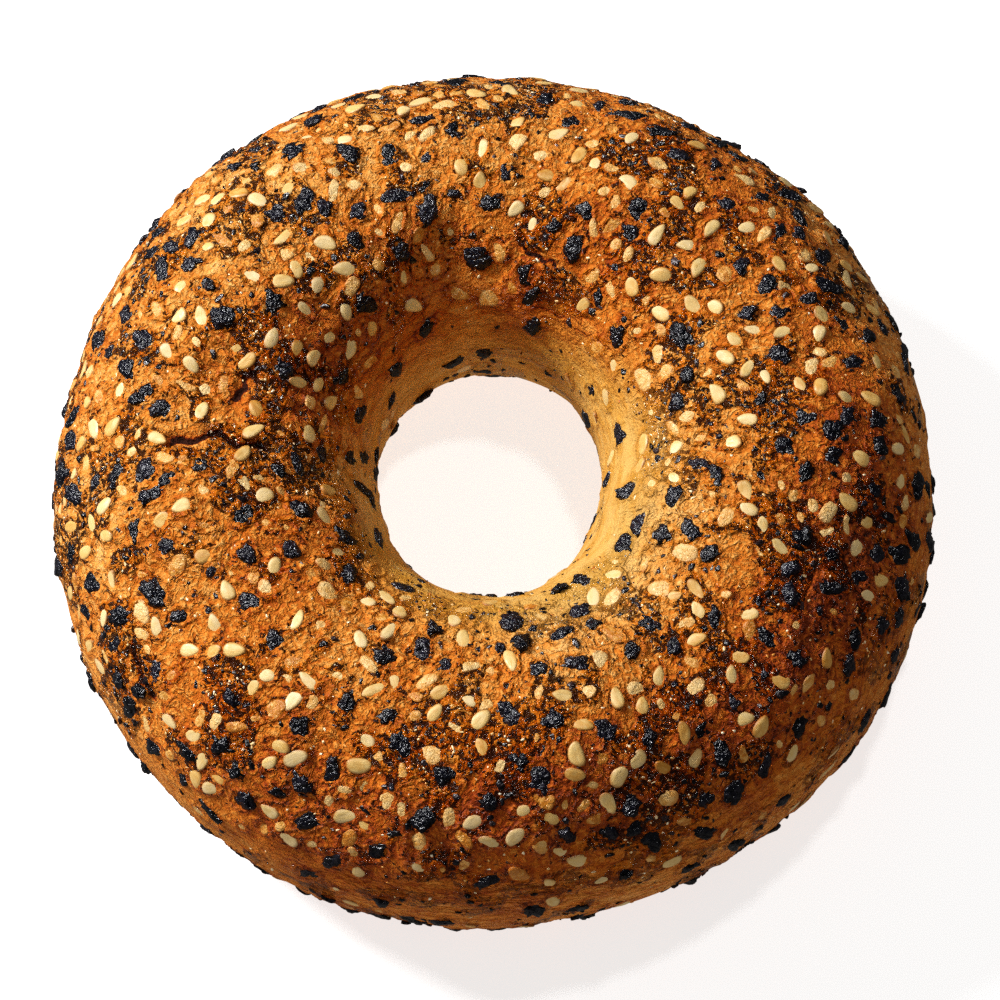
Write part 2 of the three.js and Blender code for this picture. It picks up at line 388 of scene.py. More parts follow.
class Places:
    """Places on the crust that keep a distance from each other, found by a grid of cells."""

    def __init__(self, cell):
        self.cell = cell
        self.cells = {}

    def key(self, point):
        return tuple(int(math.floor(c / self.cell)) for c in point)

    def near(self, point, gap):
        """Whether a kept point is nearer than the mean of its gap and this one."""
        i, j, k = self.key(point)
        for dx, dy, dz in itertools.product((-1, 0, 1), repeat=3):
            for x, y, z, other in self.cells.get((i + dx, j + dy, k + dz), ()):
                reach = (gap + other) / 2
                if (x - point[0]) ** 2 + (y - point[1]) ** 2 + (z - point[2]) ** 2 < reach * reach:
                    return True
        return False

    def keep(self, point, gap):
        self.cells.setdefault(self.key(point), []).append((*point, gap))


def model_grains():
    """The grains that the model has, by the same rule: lists of (theta, phi, spin, scale) by kind."""
    draw = drawer(TOPPING_SEED)
    size_draw = drawer(TOPPING_SEED + 1)
    kept = []
    grains = {kind: [] for kind, _ in MODEL_KINDS}
    while len(kept) < MODEL_GRAINS:
        theta = 2 * math.pi * next(draw)
        phi = math.radians(TRY_FROM + (TRY_TO - TRY_FROM) * next(draw))
        left = next(draw)
        kind = MODEL_KINDS[0][0]
        for name, share in MODEL_KINDS:
            if left < share:
                kind = name
                break
            left -= share
        chance = next(draw)
        spin = math.pi * next(draw)
        point = crust_point(np.float64(theta), np.float64(phi))
        stretch = math.hypot(point[0], point[1]) / OUTER_RADIUS
        if chance > stretch * topping_share(np.float64(theta), np.float64(phi)):
            continue
        if point[2] < GRAIN_FLOOR:
            continue
        if any(np.linalg.norm(other - point) < TOPPING_SPACING for other in kept):
            continue
        kept.append(point)
        scale = 1 + MODEL_SIZE_SPREAD * (2 * next(size_draw) - 1)
        grains[kind].append((theta, phi, spin, scale))
    return grains


def tries(rng, clusters):
    """Random angles, even over the crust or gathered round the places of clusters."""
    if clusters is None:
        theta = rng.uniform(*SPIN_RANGE, SCATTER_TRIES)
        phi = np.radians(rng.uniform(TRY_FROM, TRY_TO, SCATTER_TRIES))
    else:
        centre = clusters[rng.integers(0, len(clusters), SCATTER_TRIES)]
        radius = np.hypot(*crust_point(centre[:, 0], centre[:, 1])[:, :2].T)
        theta = centre[:, 0] + rng.normal(0, GATHER_REACH, SCATTER_TRIES) / radius
        phi = centre[:, 1] + rng.normal(0, GATHER_REACH, SCATTER_TRIES) / CLUSTER_SECTION
    return theta, phi


def tree_of(points):
    tree = kdtree.KDTree(len(points))
    for i, point in enumerate(points):
        tree.insert(point, i)
    tree.balance()
    return tree


def collar_rows(groups):
    """Centre, length, width and direction of every large grain, for the crust that rises round it."""
    rows = []
    for theta, phi, spin, size in groups:
        point, normal, round_ring = surface_at(theta, phi)
        rows.extend(zip(point, size[:, 0], size[:, 1], turned_by(spin, normal, round_ring)[0]))
    return rows


class Covered:
    """Tells whether a place lies on one of the pale grains, which the fine bits keep off."""

    def __init__(self, groups):
        self.rows = collar_rows(groups)
        self.tree = tree_of([row[0] for row in self.rows])

    def at(self, point):
        for _, i, _ in self.tree.find_range(point, COVER_SEARCH):
            centre, length, width, along = self.rows[i]
            offset = point - centre
            lengthways = offset @ along
            sideways = offset @ offset - lengthways**2
            if (lengthways / (length / 2)) ** 2 + sideways / (width / 2) ** 2 < COVER_MARGIN:
                return True
        return False


def scatter(rng, count, places, gap, power, least=0.0, clusters=None, char=None, covered=None):
    """Up to count places for one kind of grain: an array of rows (theta, phi).

    power makes the topping thin out faster towards the walls. least is the share of the grains that
    the outer wall keeps, and the hole's wall keeps half of it. clusters are places round which the
    grains gather. char, where it is given, is the share that is left where the crust hasn't charred.
    """
    kept = []
    for _ in range(SCATTER_ROUNDS):
        theta, phi = tries(rng, clusters)
        point = crust_point(theta, phi)
        chance = rng.uniform(0, 1, len(theta))
        floor = least * np.where(np.cos(phi) > 0, 1, 0.5)
        share = floor + (1 - floor) * topping_share(theta, phi, FINE_LOWER) ** power
        if char is not None:
            share = share * (char + (1 - char) * char_at(point))
        if clusters is None:
            share = share * np.hypot(point[:, 0], point[:, 1]) / (OUTER_RADIUS + 1)
        open_places = np.nonzero((chance < share) & (point[:, 2] > SCATTER_FLOOR))[0]
        for i in open_places:
            if places.near(point[i], gap):
                continue
            if covered and covered.at(point[i]):
                continue
            places.keep(point[i], gap)
            kept.append((theta[i], phi[i]))
            if len(kept) == count:
                return np.array(kept)
    return np.array(kept)


# -------- meshes
def make_piece(name, points, faces, material, slot, attributes, smooth=True):
    """A mesh in the frame's metres, riding on the ring, with one number a point for each attribute."""
    mesh = bpy.data.meshes.new(name)
    mesh.from_pydata((points * MM).tolist(), [], faces.tolist())
    for label, values in attributes.items():
        layer = mesh.attributes.new(label, "FLOAT", "POINT")
        layer.data.foreach_set("value", np.ascontiguousarray(values, np.float32).ravel())
    if smooth:
        mesh.shade_smooth()
    mesh.materials.append(material)
    piece = bpy.data.objects.new(name, mesh)
    bpy.context.scene.collection.objects.link(piece)
    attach(piece, "root")
    return piece


def ball(subdivisions):
    """Points and triangles of a unit icosphere."""
    shape = bmesh.new()
    bmesh.ops.create_icosphere(shape, subdivisions=subdivisions, radius=1)
    points = np.array([v.co[:] for v in shape.verts])
    faces = np.array([[v.index for v in f.verts] for f in shape.faces])
    shape.free()
    return points, faces


def join_grains(local, faces):
    """Grains as one array of points and one of faces; local has a row of points for each grain."""
    count, corners = local.shape[:2]
    shifted = faces[None] + (np.arange(count) * corners)[:, None, None]
    return local.reshape(-1, 3), shifted.reshape(-1, faces.shape[1])


def lay_grains(local, theta, phi, spin, tilt, sunk, rng):
    """Puts grains on the crust: local x lies along the spin, z along the normal, tipped a little."""
    point, normal, round_ring = seat_at(theta, phi)
    along, side = turned_by(spin, normal, round_ring)
    tip = rng.normal(0, 1, (len(theta), 2)) * tilt
    up = unit(normal + along * tip[:, :1] + side * tip[:, 1:])
    along = unit(along - up * np.sum(along * up, -1, keepdims=True))
    aside = np.cross(up, along)
    middle = point - normal * sunk[:, None]
    turned = np.einsum("gvk,gkc->gvc", local, np.stack([along, aside, up], 1))
    return turned + middle[:, None]


def crust_grid():
    """Angles of the crust's grid, with rows closer together on the crown and the walls than underneath."""
    theta = np.arange(CRUST_ROUND) * 2 * math.pi / CRUST_ROUND
    rows = np.concatenate([
        np.linspace(ROWS_FROM, UNDER_FROM, CRUST_ACROSS - UNDER_ROWS, endpoint=False),
        np.linspace(UNDER_FROM, ROWS_TO, UNDER_ROWS, endpoint=False),
    ])
    return np.meshgrid(theta, np.radians(rows), indexing="ij")


def grid_faces(round_count, across_count):
    """The four corners of each face of a grid that closes both ways."""
    i, j = np.meshgrid(np.arange(round_count), np.arange(across_count), indexing="ij")
    ahead = (i + 1) % round_count
    up = (j + 1) % across_count
    return np.stack([
        i * across_count + j,
        ahead * across_count + j,
        ahead * across_count + up,
        i * across_count + up,
    ], -1).reshape(-1, 4)


def bake_and_shade_at(theta, phi, points):
    """How far each place has baked, with painted light and shade added in places."""
    degrees = np.degrees(phi)
    tone = np.interp(degrees, *zip(*BAKE_PROFILE))
    # on the side turned from the key light the shoulder is darker, partly browning and partly painted
    # shade, and the hole's wall paler, painted light; the other side's wall is painted darker
    for at_phi, reach, amount in (SHOULDER, HOLE_WALL_LIGHT_AND_SHADE):
        band = np.exp(-(((degrees - at_phi) / reach) ** 2))
        tone = tone + amount * np.cos(theta - math.radians(SIDE_FROM_KEY)) * band
    for at_theta, at_phi, reach, amount in BAKE_AND_SHADE_PATCHES:
        tone = tone + amount * spot(theta, phi, at_theta, at_phi, reach)
    return tone + sum(size * noise(points, wavelength, seed) for wavelength, size, seed in BAKE_NOISE)


def dough_at(theta, phi, points):
    """Share of pale, floury dough in the colour: the hole's wall has hardly browned."""
    wavelength, size, seed = DOUGH_NOISE
    before, after = DOUGH_SOFTNESS
    edge = DOUGH_EDGE - DOUGH_EDGE_SWING * np.cos(theta - math.radians(DOUGH_EDGE_LOW))
    edge = edge + size * noise(points, wavelength, seed)
    degrees = np.degrees(phi)
    return smoothstep(degrees, edge - before, edge + after) * (1 - smoothstep(degrees, *DOUGH_END))


def collars_at(points, collars):
    """How far the crust has risen round the grains at each point, and how much painted contact shade lies
    round them.
    """
    tree = tree_of(points)
    raised = np.zeros(len(points))
    contact_shade = np.zeros(len(points))
    for centre, length, width, along in collars:
        for _, i, _ in tree.find_range(centre, length * 0.5 + 2 * COLLAR_WIDTH):
            offset = points[i] - centre
            lengthways = offset @ along
            sideways = math.sqrt(max(0, offset @ offset - lengthways**2))
            far = math.hypot(lengthways / (length / 2), sideways / (width / 2))
            beyond = (far - 1) * (length + width) / 4 / COLLAR_WIDTH
            raised[i] = max(raised[i], COLLAR_HEIGHT * math.exp(-beyond * beyond))
            contact_shade[i] = max(contact_shade[i], math.exp(-((beyond - CONTACT_SHADE_AT) ** 2) / CONTACT_SHADE_SPREAD))
    return raised, contact_shade


def make_crust(material, collars):
    """The crust, with the numbers that its material reads at each point."""
    theta, phi = crust_grid()
    faces = grid_faces(*theta.shape)
    theta = theta.ravel()
    phi = phi.ravel()
    bare = crust_point(theta, phi)
    points, normal, _ = surface_at(theta, phi)
    bake_and_shade = bake_and_shade_at(theta, phi, points)
    least = WALL_ROUGHNESS * smoothstep(np.cos(phi), *OUTER_SIDE) + LEAST_ROUGHNESS
    raised, contact_shade = collars_at(points, collars)
    points = points + normal * raised[:, None]
    points[:, 2] = np.maximum(points[:, 2], 0)
    piece = make_piece("crust", points, faces, material, "crust", {
        "bake_and_shade": bake_and_shade,
        "rough": least + (1 - least) * topping_share(theta, phi, FINE_LOWER),
        # painted shade along each wrinkle's crease
        "wrinkle": wrinkle_depth(theta, phi)[1],
        "char": char_at(bare),
        "dough": dough_at(theta, phi, bare),
        # painted contact shade round each grain
        "contact_shade": contact_shade,
    })
    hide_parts("bagel")


def squared(x, y, power):
    """A round outline pushed out towards a rectangle's."""
    reach = (np.abs(x) ** power + np.abs(y) ** power) ** (1 / power)
    return x * np.hypot(x, y) / np.maximum(reach, 1e-9), y * np.hypot(x, y) / np.maximum(reach, 1e-9)


def flattened(z, power):
    return np.sign(z) * np.abs(z) ** power


def make_sesame(material, theta, phi, spin, size, rng):
    count = len(theta)
    points, faces = ball(3)
    x, y, z = points.T
    x, y = squared(x, y, SESAME_SQUARE)
    local = np.repeat(np.stack([x, y, flattened(z, SESAME_FLAT)], -1)[None], count, 0)
    taper = rng.uniform(*SESAME_TAPER, (count, 1))
    local[..., 1] *= 1 - taper * local[..., 0] - 0.10 * local[..., 0] ** 2
    dish = np.exp(-((np.hypot(x, y) / 0.5) ** 2)) * (z > 0)
    local[..., 2] -= rng.uniform(*SESAME_DISH, (count, 1)) * dish
    local = local * size[:, None] / 2
    local[..., 1] += rng.normal(0, 0.07, (count, 1)) * local[..., 0] ** 2
    local[..., 2] += rng.normal(0, 0.04, (count, 1)) * local[..., 0] ** 2
    uneven = noise(local + rng.uniform(*NOISE_RANGE, (count, 1, 3)), 1.1, 41)
    local = local * (1 + 0.045 * uneven[..., None])
    along = 0.35 * local[..., 0] + rng.uniform(*NOISE_RANGE, (count, 1))
    # the lower rim, painted darker below as painted shade where the seed meets the crust
    rim = np.tile(1 - smoothstep(z, *SESAME_RIM), (count, 1))
    laid = lay_grains(local, theta, phi, spin, SESAME_TILT, rng.uniform(*SESAME_SUNK, count), rng)
    tone = np.repeat(rng.beta(*MOSTLY_LOW, count), len(points))
    make_piece("sesame_seeds", *join_grains(laid, faces), material, "sesame", {
        "tone": tone,
        "rim": rim,
        "along": along,
        "aside": local[..., 1],
    })


def make_flakes(material, theta, phi, spin, size, rng):
    count = len(theta)
    points, faces = ball(3)
    x, y, z = points.T
    x, y = squared(x, y, FLAKE_SQUARE)
    chip = np.stack([x, y * (1 - 0.2 * x), flattened(z, FLAKE_FLAT)], -1)
    local = chip[None] * size[:, None] / 2
    offset = rng.uniform(*NOISE_RANGE, (count, 1, 3))
    outline = noise(local * np.array([1, 1, 0.2]) + offset, 1.2, 51)
    local[..., :2] *= (1 + 0.25 * outline)[..., None]
    local[..., 2] += 0.10 * noise(local + offset, 0.75, 52)
    rim = np.tile(1 - smoothstep(z, *FLAKE_RIM), (count, 1))
    laid = lay_grains(local, theta, phi, spin, FLAKE_TILT, rng.uniform(*FLAKE_SUNK, count), rng)
    tone = np.repeat(rng.uniform(0, 1, count), len(points))
    make_piece("onion_flakes", *join_grains(laid, faces), material, "flake", {"tone": tone, "rim": rim})


def make_black(material, theta, phi, spin, size, rng):
    count = len(theta)
    points, faces = ball(3)
    x, y, z = points.T
    x, y = squared(x, y, BLACK_SQUARE)
    lump = np.stack([x, y * (1 - 0.18 * x), flattened(z, BLACK_FLAT)], -1)
    local = lump[None] * size[:, None] / 2
    offset = rng.uniform(*NOISE_RANGE, (count, 1, 3))
    push = 0.34 * noise(local + offset, 1.0, 61)
    crumple = 0.32 * (1 - 2 * np.abs(noise(local + offset, 0.62, 62)))
    local = local * (1 + push + crumple - 0.13)[..., None]
    sunk = size[:, 2] * rng.uniform(*BLACK_SUNK, count)
    laid = lay_grains(local, theta, phi, spin, BLACK_TILT, sunk, rng)
    tone = np.repeat(rng.uniform(0, 1, count), len(points))
    make_piece("black_seeds", *join_grains(laid, faces), material, "black_seed", {"tone": tone})


def make_small(name, material, slot, found, size, rng, subdivisions, lumpy, sunk, smooth=True):
    """Poppy seeds, grit and pale crumbly bits, the palest of them painted glints: small lumps, each pushed
    out of round in its own way.
    """
    count = len(found)
    points, faces = ball(subdivisions)
    local = points[None] * size[:, None] / 2
    push = noise(points[None] + rng.uniform(*NOISE_RANGE, (count, 1, 3)), 0.9, 71)
    local = local * (1 + lumpy * push[..., None])
    spin = rng.uniform(*SPIN_RANGE, count)
    laid = lay_grains(local, found[:, 0], found[:, 1], spin, SMALL_TILT, size[:, 2] * sunk, rng)
    tone = np.repeat(rng.uniform(0, 1, count), len(points))
    make_piece(name, *join_grains(laid, faces), material, slot, {"tone": tone}, smooth)


# -------- materials
class Nodes:
    """Short calls to add the nodes of a tree and join them."""

    def __init__(self, tree):
        self.tree = tree

    def add(self, kind, sockets=None, **settings):
        node = self.tree.nodes.new(kind)
        for key, value in settings.items():
            setattr(node, key, value)
        for key, value in (sockets or {}).items():
            self.put(value, node.inputs[key])
        return node

    def put(self, value, socket):
        if isinstance(value, bpy.types.NodeSocket):
            self.tree.links.new(value, socket)
        else:
            socket.default_value = value

    def vector(self, operation, sockets):
        return self.add("ShaderNodeVectorMath", sockets, operation=operation).outputs[0]

    def math(self, operation, a, b=0.0, clamp=False):
        return self.add("ShaderNodeMath", {0: a, 1: b}, operation=operation, use_clamp=clamp).outputs[0]

    def plus(self, total, *others):
        for other in others:
            total = self.math("ADD", total, other)
        return total

    def minus(self, a, b):
        return self.math("SUBTRACT", a, b)

    def times(self, total, *others):
        for other in others:
            total = self.math("MULTIPLY", total, other)
        return total

    def ramp(self, value, low, high, to_low=0.0, to_high=1.0):
        sockets = {"Value": value, "From Min": low, "From Max": high, "To Min": to_low, "To Max": to_high}
        return self.add("ShaderNodeMapRange", sockets, interpolation_type="SMOOTHSTEP").outputs[0]


class Shader(Nodes):
    """The nodes of a material, under a Principled shader."""

    def __init__(self, name, **settings):
        self.material = bpy.data.materials.new(name)
        self.material.use_nodes = True
        super().__init__(self.material.node_tree)
        self.tree.nodes.clear()
        output = self.add("ShaderNodeOutputMaterial")
        self.surface = self.add("ShaderNodeBsdfPrincipled")
        self.put(self.surface.outputs[0], output.inputs["Surface"])
        for socket, value in settings.items():
            self.put(value, self.surface.inputs[socket.replace("_", " ")])
        place = self.add("ShaderNodeTexCoord")
        self.mm = self.vector("SCALE", {0: place.outputs["Object"], "Scale": 1 / MM})

    def attribute(self, name):
        return self.add("ShaderNodeAttribute", attribute_name=name).outputs["Fac"]

    def winding(self, scale, reach):
        """Millimetre coordinates pushed about, so that what is drawn with them winds."""
        push = self.add("ShaderNodeTexNoise", {"Vector": self.mm, "Scale": scale, "Detail": 0.0})
        push = self.vector("SCALE", {0: push.outputs["Color"], "Scale": reach})
        return self.vector("ADD", {0: self.mm, 1: push})

    def noise(self, wavelength, detail=2.0, roughness=0.55, where=None, distortion=0.0):
        sockets = {
            "Vector": where or self.mm,
            "Scale": 1 / wavelength,
            "Detail": detail,
            "Roughness": roughness,
            "Distortion": distortion,
        }
        return self.add("ShaderNodeTexNoise", sockets).outputs["Fac"]

    def from_middle(self, value):
        """How far a noise is from its middle, which is 0 along thin winding lines."""
        return self.math("ABSOLUTE", self.minus(value, 0.5))

    def uneven(self, wavelength, low, high, detail=2.0):
        """A number that wanders between two."""
        return self.ramp(self.noise(wavelength, detail), 0.3, 0.7, low, high)

    def colours(self, value, stops):
        """Colours along a ramp, the first and last stop at its ends."""
        node = self.add("ShaderNodeValToRGB", {"Fac": value})
        elements = node.color_ramp.elements
        elements[0].position, elements[0].color = stops[0][0], (*stops[0][1], 1)
        elements[1].position, elements[1].color = stops[-1][0], (*stops[-1][1], 1)
        for position, colour in stops[1:-1]:
            elements.new(position).color = (*colour, 1)
        return node.outputs["Color"]

    def mix(self, share, a, b):
        """Colour a towards b, which is a plain colour or a socket."""
        if isinstance(b, tuple):
            b = (*b, 1)
        return self.add("ShaderNodeMix", {0: share, 6: a, 7: b}, data_type="RGBA").outputs[2]

    def finish(self, colour, roughness, height=None, depth=0.1):
        self.put(colour, self.surface.inputs["Base Color"])
        self.put(roughness, self.surface.inputs["Roughness"])
        if height is not None:
            bump = self.add("ShaderNodeBump", {"Height": height, "Distance": depth * MM, "Strength": 1.0})
            self.put(bump.outputs[0], self.surface.inputs["Normal"])
        return self.material


def crust_material():
    s = Shader("crust", Specular_IOR_Level=0.19)
    rough = s.attribute("rough")
    char = s.attribute("char")
    contact_shade = s.attribute("contact_shade")
    in_dough = s.attribute("dough")
    winding = s.winding(0.8, 0.9)
    fine = s.noise(0.55, 3, 0.62)
    mottle = s.noise(1.8, 3, 0.6)
    patch = s.noise(6.0, 2, 0.5)
    lumps = s.noise(0.9, 3, 0.7, where=winding)
    slab = s.ramp(s.noise(2.1, 4, 0.62, where=winding), 0.485, 0.545)
    chip = s.ramp(s.noise(0.70, 2, 0.6, where=winding), 0.50, 0.55)
    fibre = s.math("SINE", s.times(s.noise(2.2, 2, 0.5, where=winding), 36.0))
    fibre = s.times(fibre, s.ramp(s.noise(1.1, 2), 0.34, 0.58))
    bare = s.math("MULTIPLY", s.minus(1.0, rough), 1.6, clamp=True)
    crusty = s.times(rough, s.minus(1.0, in_dough))

    # the crust that has caught, with its dark specks, its cracks painted darker as painted shade in them,
    # most where it has caught, and the pale lips of its chips
    # caught also rises in the painted contact shade round the grains, so cracks, specks and gloss gather
    # there too
    caught = s.ramp(s.plus(char, s.times(contact_shade, 0.45)), 0.10, 0.60)
    crack = s.from_middle(s.noise(1.9, 3, 0.65, where=winding))
    crack = s.times(s.ramp(crack, 0.03, 0.0), s.ramp(mottle, 0.52, 0.40))
    crack = s.times(crack, s.plus(s.times(caught, 0.7), 0.3), crusty)
    speck_edge = s.plus(lumps, s.times(fibre, 0.055))
    speck = s.ramp(s.minus(speck_edge, s.times(caught, 0.16)), 0.345, 0.325)
    speck = s.times(speck, crusty)
    dark = s.math("MAXIMUM", crack, speck)
    ridge = s.from_middle(s.noise(0.85, 2, 0.6, where=winding))
    lip = s.times(s.ramp(ridge, 0.025, 0.04), s.ramp(ridge, 0.08, 0.06))

    # the bare walls, drawn out upwards as the dough rose
    skin = s.vector("MULTIPLY", {0: winding, 1: (0.20, 0.20, 0.75)})
    streak = s.noise(1.0, 4, 0.62, where=skin, distortion=0.5)
    fold = s.from_middle(s.noise(0.8, 2, 0.55, where=skin, distortion=0.4))
    fold = s.times(s.ramp(fold, 0.05, 0.0), bare)

    tone = s.plus(
        s.attribute("bake_and_shade"),
        s.ramp(patch, 0.3, 0.7, -0.035, 0.035),
        # paler on the raised mottle and slabs here, and on the raised fibres and fine bumps below: painted
        # light on the relief, with painted shade in its hollows
        s.times(rough, s.ramp(mottle, 0.3, 0.7, 0.03, -0.03)),
        s.times(rough, s.ramp(slab, 0.0, 1.0, 0.02, -0.02)),
        s.times(bare, s.ramp(streak, 0.35, 0.65, -0.06, 0.07)),
        # painted shade down the folds of the bare walls
        s.times(fold, s.ramp(in_dough, 0.0, 1.0, 0.16, 0.06)),
        # painted shade along the wrinkles' creases
        s.ramp(s.attribute("wrinkle"), 0.35, 0.95, 0.0, 0.75),
        s.times(char, rough, 0.04),
        # painted contact shade round the grains
        s.times(contact_shade, 0.09),
        s.times(crusty, fibre, -0.09),
        s.times(crusty, s.ramp(fine, 0.38, 0.62, 0.055, -0.05)),
    )
    colour = s.colours(tone, [
        (0.0, (0.87, 0.68, 0.39)),
        (0.2, (0.85, 0.527, 0.215)),
        (0.4, (0.81, 0.374, 0.094)),
        (0.5, (0.745, 0.284, 0.044)),
        (0.62, (0.62, 0.178, 0.013)),
        (0.78, (0.415, 0.077, 0.003)),
        (0.9, (0.20, 0.026, 0.001)),
        (1.0, (0.045, 0.009, 0.003)),
    ])
    dough = s.colours(s.plus(tone, s.ramp(streak, 0.3, 0.7, -0.10, 0.10)), [
        (0.0, (0.70, 0.45, 0.150)),
        (0.5, (0.60, 0.30, 0.050)),
        (1.0, (0.36, 0.105, 0.006)),
    ])
    colour = s.mix(in_dough, colour, dough)
    # pale chips on the raised slabs: partly paler dry crust, partly painted light on the raised parts
    plate = s.times(chip, s.plus(slab, 0.25))
    plate = s.times(s.math("MAXIMUM", plate, lip), crusty, s.ramp(tone, 0.66, 0.2, 0.0, 0.32))
    colour = s.mix(plate, colour, (0.92, 0.60, 0.22))
    # near black on the charred specks, and in the cracks as painted shade
    colour = s.mix(s.times(dark, 0.92), colour, (0.030, 0.011, 0.007))

    gloss = s.plus(s.times(caught, 0.75), s.times(dark, 0.6), s.ramp(patch, 0.45, 0.7, 0.0, 0.3))
    height = s.plus(
        s.times(slab, 0.30),
        s.times(chip, 0.24),
        s.times(fine, 0.75),
        mottle,
        s.times(fibre, 0.22),
        s.times(caught, lumps, 1.5),
    )
    leather = s.minus(s.plus(s.times(streak, 3.4), lumps, fine), s.times(fold, 0.35))
    leather = s.times(leather, s.minus(1.0, s.times(in_dough, 0.72)))
    height = s.minus(s.times(rough, height), s.times(crack, 0.5))
    height = s.plus(height, s.times(speck, 0.30), s.times(bare, leather))
    return s.finish(colour, s.ramp(gloss, 0.0, 0.9, 0.86, 0.12), height, 0.5)


def sesame_material():
    s = Shader("sesame", Specular_IOR_Level=0.35)
    tone = s.plus(s.attribute("tone"), s.uneven(0.9, -0.10, 0.10))
    place = {0: s.attribute("along"), 1: s.attribute("aside"), 2: tone}
    veins = s.noise(0.45, 2, where=s.add("ShaderNodeCombineXYZ", place).outputs[0], distortion=0.3)
    tone = s.plus(tone, s.ramp(veins, 0.35, 0.65, -0.10, 0.12))
    colour = s.colours(tone, [
        (0.0, (0.75, 0.57, 0.30)),
        (0.35, (0.73, 0.51, 0.20)),
        (0.7, (0.67, 0.39, 0.11)),
        (1.0, (0.55, 0.25, 0.035)),
    ])
    # the lower rim painted brown: painted shade where the seed meets the crust
    rim = s.times(s.attribute("rim"), s.ramp(s.noise(0.5), 0.25, 0.5, 0.4, 1.0), 0.9)
    colour = s.mix(rim, colour, (0.34, 0.12, 0.018))
    return s.finish(colour, s.uneven(0.6, 0.34, 0.50), veins, 0.05)


def flake_material():
    s = Shader("flake", Specular_IOR_Level=0.4)
    colour = s.colours(s.plus(s.attribute("tone"), s.uneven(0.8, -0.3, 0.3, 3)), [
        (0.0, (0.80, 0.56, 0.25)),
        (0.4, (0.77, 0.46, 0.155)),
        (0.8, (0.69, 0.33, 0.065)),
        (1.0, (0.54, 0.20, 0.02)),
    ])
    rim = s.times(s.attribute("rim"), s.ramp(s.noise(0.6), 0.25, 0.6), 0.85)
    colour = s.mix(rim, colour, (0.46, 0.14, 0.012))
    return s.finish(colour, s.uneven(0.5, 0.30, 0.50), s.noise(0.5, 3, distortion=1.0), 0.26)


def black_seed_material():
    s = Shader("black_seed", Specular_IOR_Level=0.6)
    colour = s.colours(s.plus(s.attribute("tone"), s.uneven(0.6, -0.3, 0.3)), [
        (0.0, (0.004, 0.005, 0.010)),
        (0.6, (0.008, 0.009, 0.019)),
        (1.0, (0.022, 0.020, 0.034)),
    ])
    folds = s.math("SINE", s.times(s.noise(1.5, 2, 0.5, where=s.winding(1.1, 1.0)), 34.0))
    # painted shade in the valleys between the folds
    fold_shade = s.times(s.ramp(folds, -0.4, -0.9), s.ramp(s.noise(0.8), 0.35, 0.55), 0.9)
    colour = s.mix(fold_shade, colour, (0.002, 0.002, 0.003))
    height = s.plus(s.noise(0.6, 3, 0.55), s.times(folds, 0.16))
    return s.finish(colour, s.uneven(0.4, 0.16, 0.36), height, 0.40)


def bits_material(name, pale, dark):
    s = Shader(name, Specular_IOR_Level=0.6)
    tone = s.plus(s.attribute("tone"), s.uneven(0.6, -0.3, 0.3))
    colour = s.colours(tone, [(0.0, dark), (0.6, dark), (1.0, pale)])
    return s.finish(colour, s.uneven(0.45, 0.10, 0.40), s.noise(0.3), 0.14)


def crumb_and_glint_material():
    s = Shader("crumb_and_glint", Specular_IOR_Level=0.5)
    # the palest of these stand in for glints: painted highlights, beside real pale crumbly bits
    colour = s.colours(s.plus(s.attribute("tone"), s.uneven(0.4, -0.2, 0.2)), [
        (0.0, (0.95, 0.84, 0.62)),
        (0.4, (0.90, 0.66, 0.34)),
        (0.7, (0.78, 0.37, 0.07)),
        (1.0, (0.50, 0.13, 0.010)),
    ])
    return s.finish(colour, s.uneven(0.4, 0.2, 0.5), s.noise(0.3), 0.08)


# -------- the topping
def sizes_of(rng, count, sizes):
    """Length, width and thickness of each grain."""
    return np.stack([rng.uniform(least, most, count) for least, most in sizes], -1)


def scattered(rng, kind, places, already=0):
    """Angles, spins and sizes of the large grains of one kind that are scattered."""
    count, gap, power, least, sizes = LARGE_KINDS[kind]
    found = scatter(rng, count - already, places, gap, power, least=least)
    size = sizes_of(rng, len(found), sizes)
    return found[:, 0], found[:, 1], rng.uniform(*SPIN_RANGE, len(found)), size


def joined(*groups):
    """Groups of grains as one; each is a tuple of their angles, spins and sizes."""
    return tuple(np.concatenate(columns) for columns in zip(*groups))


def with_model_grains(rng, kind, places, model):
    """The model's grains of one kind, at the model's sizes, and then the ones scattered between them."""
    rows = np.array(model[kind])
    size = np.array(MODEL_SIZES[kind])[None] * rows[:, 3:4]
    return joined((rows[:, 0], rows[:, 1], rows[:, 2], size), scattered(rng, kind, places, len(rows)))


def taken_places(model):
    """The places that are taken before any grain is scattered: by the model's grains and the wrinkles."""
    places = Places(4.0)
    for kind in model:
        for theta, phi, _, _ in model[kind]:
            places.keep(crust_point(np.float64(theta), np.float64(phi)), MODEL_GAP)
    for theta_a, phi_a, theta_b, phi_b, width, _, _ in WRINKLES:
        for part in np.linspace(0, 1, WRINKLE_MARKS):
            theta, phi = np.radians([theta_a + part * (theta_b - theta_a), phi_a + part * (phi_b - phi_a)])
            places.keep(crust_point(theta, phi), width)
    return places


def black_grains(rng, places, model):
    """The model's black seeds and those scattered between them, the small ones and the one big one."""
    big = np.array([BIG_SEED])
    big[:, :3] = np.radians(big[:, :3])
    places.keep(crust_point(big[0, 0], big[0, 1]), BIG_SEED_GAP)
    *angles, size = with_model_grains(rng, "black", places, model)
    small = scattered(rng, "small_black", places)
    return joined((*angles, size * BLACK_STRETCH), small, (big[:, 0], big[:, 1], big[:, 2], big[:, 3:]))


